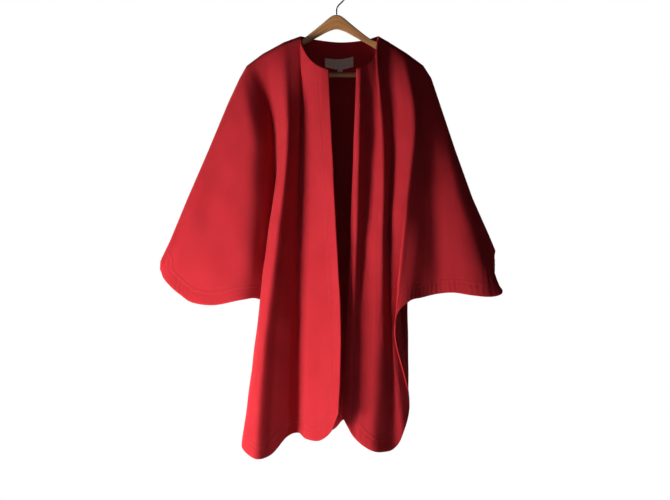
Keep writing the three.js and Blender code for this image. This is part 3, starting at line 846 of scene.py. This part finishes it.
def varnished_beech():
    """Beech under clear varnish: honey brown, with darker growth rings 5 mm apart drawn out along the
    grain, and flecks 0.7 mm wide and 6 mm long. The varnish is glossy over the duller wood."""
    material, tree, shader, _ = new_material("varnished honey beech")
    place = node(tree, "ShaderNodeAttribute", attribute_name="grain").outputs["Vector"]
    drawn = node(tree, "ShaderNodeMapping", {"Vector": place}, Scale=(0.06, 1.0, 1.0))
    short = node(tree, "ShaderNodeMapping", {"Vector": place}, Scale=(0.12, 1.0, 1.0))
    rings = noise(tree, drawn.outputs[0], 5, 3.0)
    flecks = noise(tree, short.outputs[0], 0.7, 2.0)
    body = blend(tree, share_of(tree, rings, 0.3, 0.7, 0.0, 1.0), "#D9A468", "#B57A3E")
    flecked = blend(tree, share_of(tree, flecks, 0.55, 0.75, 0.0, 0.5), body, "#8A5426")
    tree.links.new(flecked, shader.inputs["Base Color"])
    relief = node(tree, "ShaderNodeBump", {"Height": flecks}, Strength=0.15, Distance=0.2 * MM)
    tree.links.new(relief.outputs[0], shader.inputs["Normal"])
    shader.inputs["Roughness"].default_value = 0.42
    shader.inputs["Coat Weight"].default_value = 0.5
    shader.inputs["Coat Roughness"].default_value = 0.15
    return material


BEECH = varnished_beech()
arm = fold_table(HANGER_SECTIONS, HANGER_COLUMNS)
other_arm = {k: arm[k][:0:-1] * (-1 if k.startswith("x") else 1) for k in HANGER_COLUMNS}
edges = np.array([np.concatenate([other_arm[k], arm[k]]) for k in HANGER_COLUMNS])
at = np.tile(np.linspace(0, edges.shape[1] - 1, 261), (4, 1))
x_upper, z_upper, x_lower, z_lower = (row[:, None] for row in through(edges, at))
turn = np.arange(48)[None, :] * np.pi / 24
high = np.sign(np.cos(turn)) * np.abs(np.cos(turn)) ** SECTION_ROUND
deep = np.sign(np.sin(turn)) * np.abs(np.sin(turn)) ** SECTION_ROUND
wood_x = (x_upper + x_lower) / 2 + (x_upper - x_lower) / 2 * high
wood_z = (z_upper + z_lower) / 2 + (z_upper - z_lower) / 2 * high
wood_rings = np.stack([wood_x, deep * WOOD_THICK / 2 + 0 * wood_x, wood_z], -1)
wood = closed_rings("hanger_beech", wood_rings, FOOT_END)
wood.data.materials.append(BEECH)
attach(wood, "root")
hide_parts("hanger_wood")

# The trouser bar
# A turned beech rod glued into the two feet, varnished with the rest of the hanger.
BAR_RADIUS = 6.0
BAR_HEIGHT = -220.0
BAR_END = 200.0

bar_x = np.linspace(-BAR_END, BAR_END, 121)[:, None]
turn = np.arange(32)[None, :] * np.pi / 16
bar_y = BAR_RADIUS * np.sin(turn)
bar_z = BAR_HEIGHT + BAR_RADIUS * np.cos(turn)
bar_rings = np.stack([bar_x + 0 * turn, bar_y + 0 * bar_x, bar_z + 0 * bar_x], -1)
bar = closed_rings("bar_beech", bar_rings, 1.0)
bar.data.materials.append(BEECH)
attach(bar, "root")
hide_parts("trouser_bar")

# The hook
# One piece of round steel wire, bent cold: a straight stem set in the wood, a swan neck, and two thirds
# of a ring whose inner curve hangs on the rail. It is bright plated, and its end is rounded.
WIRE_RADIUS = 2.0
RING_RADIUS = 22.0
RING_CENTRE = -20.0
RING_START, RING_END = math.radians(-40), math.radians(200)
STEM_FOOT, STEM_TOP = -94.0, -57.0
NECK_PULL = 26.0


def plated_steel():
    """Bright nickel-plated steel wire: a mirror, softened a little and unevenly by handling."""
    material, tree, shader, place = new_material("bright plated steel")
    dull = share_of(tree, noise(tree, place, 4, 3.0), 0.0, 1.0, 0.14, 0.28)
    tree.links.new(dull, shader.inputs["Roughness"])
    shader.inputs["Base Color"].default_value = linear("#C9CACC")
    shader.inputs["Metallic"].default_value = 1.0
    return material


stem = np.stack([np.zeros(14), np.linspace(STEM_FOOT, STEM_TOP, 14)], -1)
f = np.linspace(0, 1, 26)[1:-1, None]
neck_from = np.array([0.0, STEM_TOP])
neck_to = np.array([RING_RADIUS * math.cos(RING_START), RING_CENTRE + RING_RADIUS * math.sin(RING_START)])
pull_from = np.array([0.0, NECK_PULL])
pull_to = np.array([-math.sin(RING_START), math.cos(RING_START)]) * NECK_PULL
swan_neck = neck_from * (2 * f**3 - 3 * f**2 + 1) + pull_from * (f**3 - 2 * f**2 + f)
swan_neck += neck_to * (3 * f**2 - 2 * f**3) + pull_to * (f**3 - f**2)
ring_turn = np.linspace(RING_START, RING_END, 90)
ring = np.stack([RING_RADIUS * np.cos(ring_turn), RING_CENTRE + RING_RADIUS * np.sin(ring_turn)], -1)
wire = np.concatenate([stem, swan_neck, ring])
ahead = np.gradient(wire, axis=0)
ahead /= np.linalg.norm(ahead, axis=-1, keepdims=True)
turn = np.arange(20)[None, :] * np.pi / 10
wire_rings = np.stack(
    [
        wire[:, :1] - ahead[:, 1:] * np.cos(turn) * WIRE_RADIUS,
        np.sin(turn) * WIRE_RADIUS + 0 * wire[:, :1],
        wire[:, 1:] + ahead[:, :1] * np.cos(turn) * WIRE_RADIUS,
    ],
    -1,
)
hook = closed_rings("hook_wire", wire_rings, WIRE_RADIUS)
hook.data.materials.append(plated_steel())
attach(hook, "root")
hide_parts("hanger_hook")
